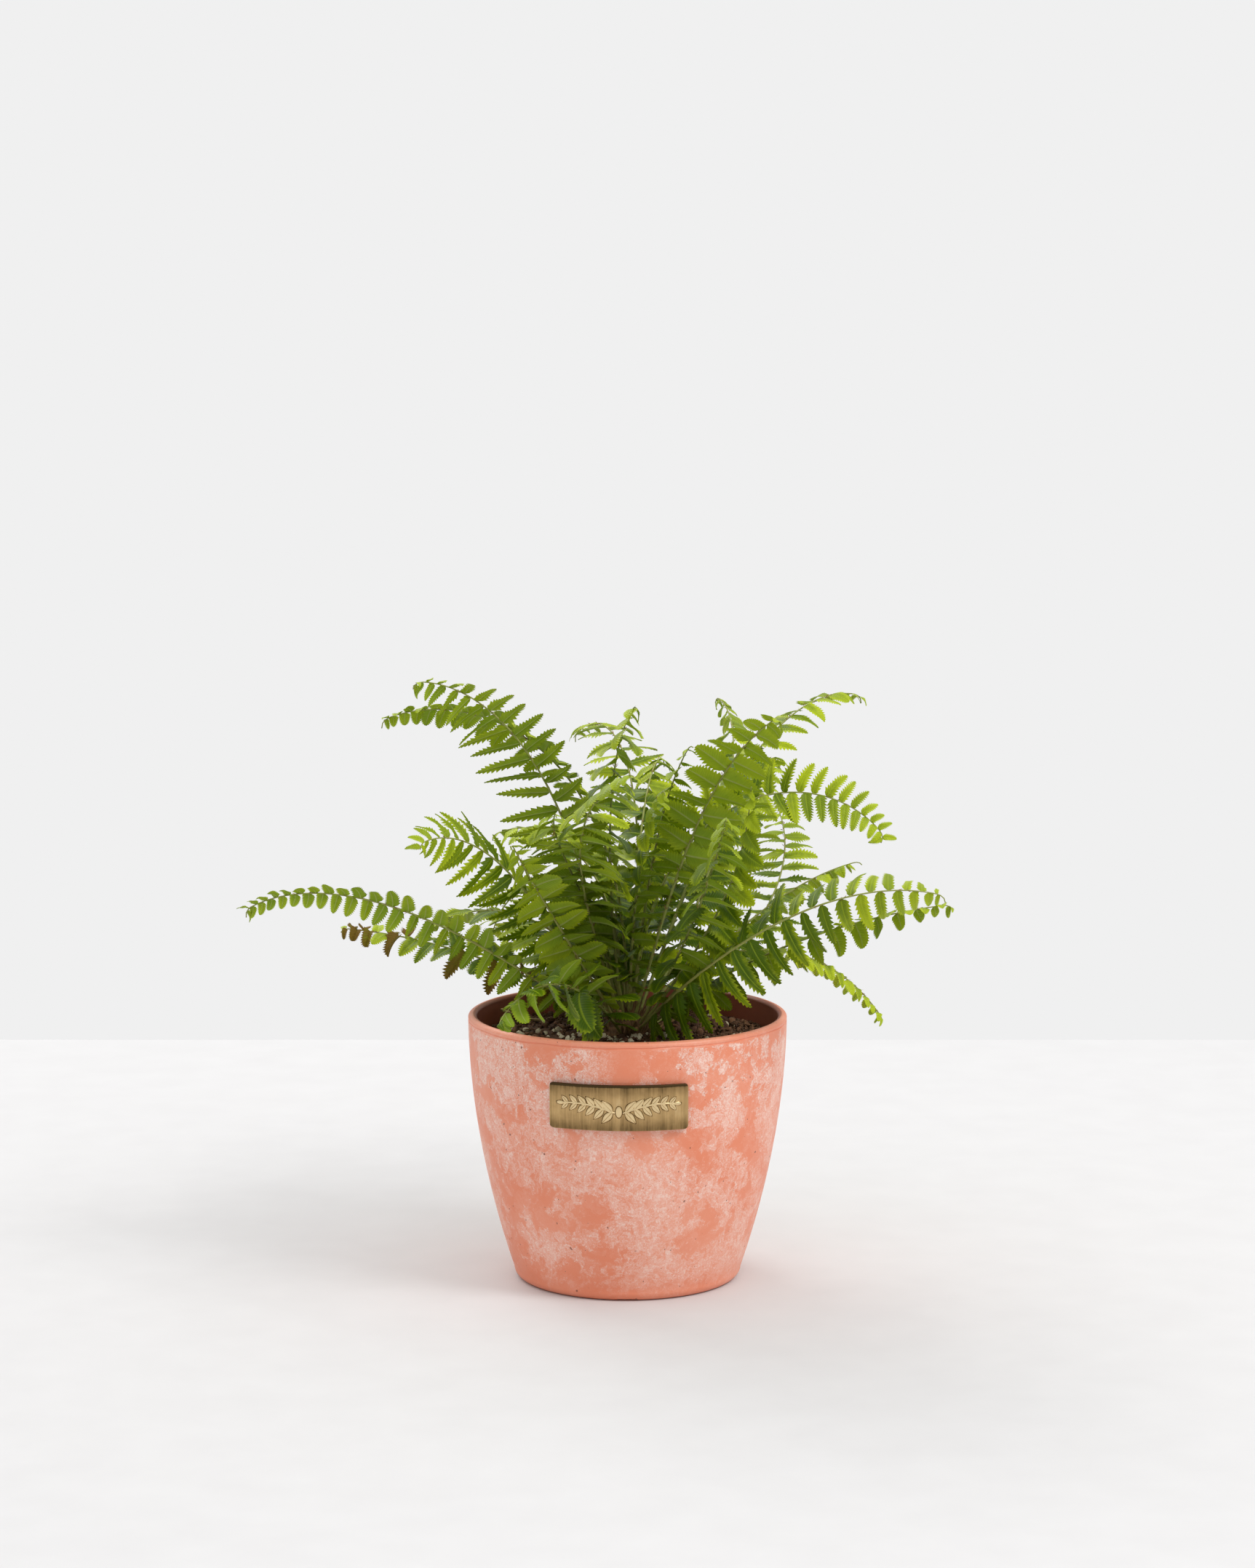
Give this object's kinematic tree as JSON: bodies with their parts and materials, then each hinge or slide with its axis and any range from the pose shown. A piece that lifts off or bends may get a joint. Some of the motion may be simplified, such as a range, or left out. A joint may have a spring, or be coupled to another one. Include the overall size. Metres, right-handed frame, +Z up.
{
  "type": "potted fern",
  "caption": "Small sword fern with arching toothed fronds growing from a crown in dark soil, in a round tapered resin pot with a plain brass plate on its front.",
  "frame": {"origin": "middle of the pot's flat underside", "axes": "+Z up along the pot's axis, -Y towards the front, where the brass plate is, +X to the right seen from the front"},
  "size_m": [0.2852, 0.2724, 0.2522],
  "materials": {
    "pot_resin": "satin stone-filled resin, salmon terracotta with pale marbled streaks",
    "antique_brass": "brushed antique brass with darker patina at its edges",
    "adhesive_foam": "dark adhesive foam",
    "potting_soil": "moist dark peat with pale perlite grains",
    "rootstock": "brown scaly rootstock",
    "dry_stalk": "dry straw-coloured stalk",
    "fern_leaf": "semi-gloss green leaf with lighter yellow-green margins"
  },
  "bodies": {
    "root": {"pot": "pot_resin", "name_plate": "antique_brass", "plate_pad": "adhesive_foam", "soil": "potting_soil", "crown": "rootstock", "dry_stalk": "dry_stalk", "frond_low_left": "fern_leaf", "frond_old_left": "fern_leaf", "frond_mid_left": "fern_leaf", "frond_behind_left": "fern_leaf", "frond_high_left": "fern_leaf", "frond_upper_left": "fern_leaf", "frond_top_back": "fern_leaf", "frond_top_middle": "fern_leaf", "frond_inner_left": "fern_leaf", "frond_inner_low_left": "fern_leaf", "frond_front_left": "fern_leaf", "frond_tall_right": "fern_leaf", "frond_high_right": "fern_leaf", "frond_top_right": "fern_leaf", "frond_upper_right": "fern_leaf", "frond_inner_right": "fern_leaf", "frond_hooked_right": "fern_leaf", "frond_narrow_right": "fern_leaf", "frond_low_right": "fern_leaf", "frond_hanging_right": "fern_leaf", "frond_behind_right": "fern_leaf", "frond_middle": "fern_leaf", "frond_front_right": "fern_leaf", "frond_back_1": "fern_leaf", "frond_back_2": "fern_leaf", "frond_back_3": "fern_leaf", "frond_back_4": "fern_leaf", "frond_back_5": "fern_leaf", "frond_back_6": "fern_leaf", "frond_back_7": "fern_leaf", "frond_small_front": "fern_leaf", "frond_small_right": "fern_leaf"}
  },
  "joints": []
}
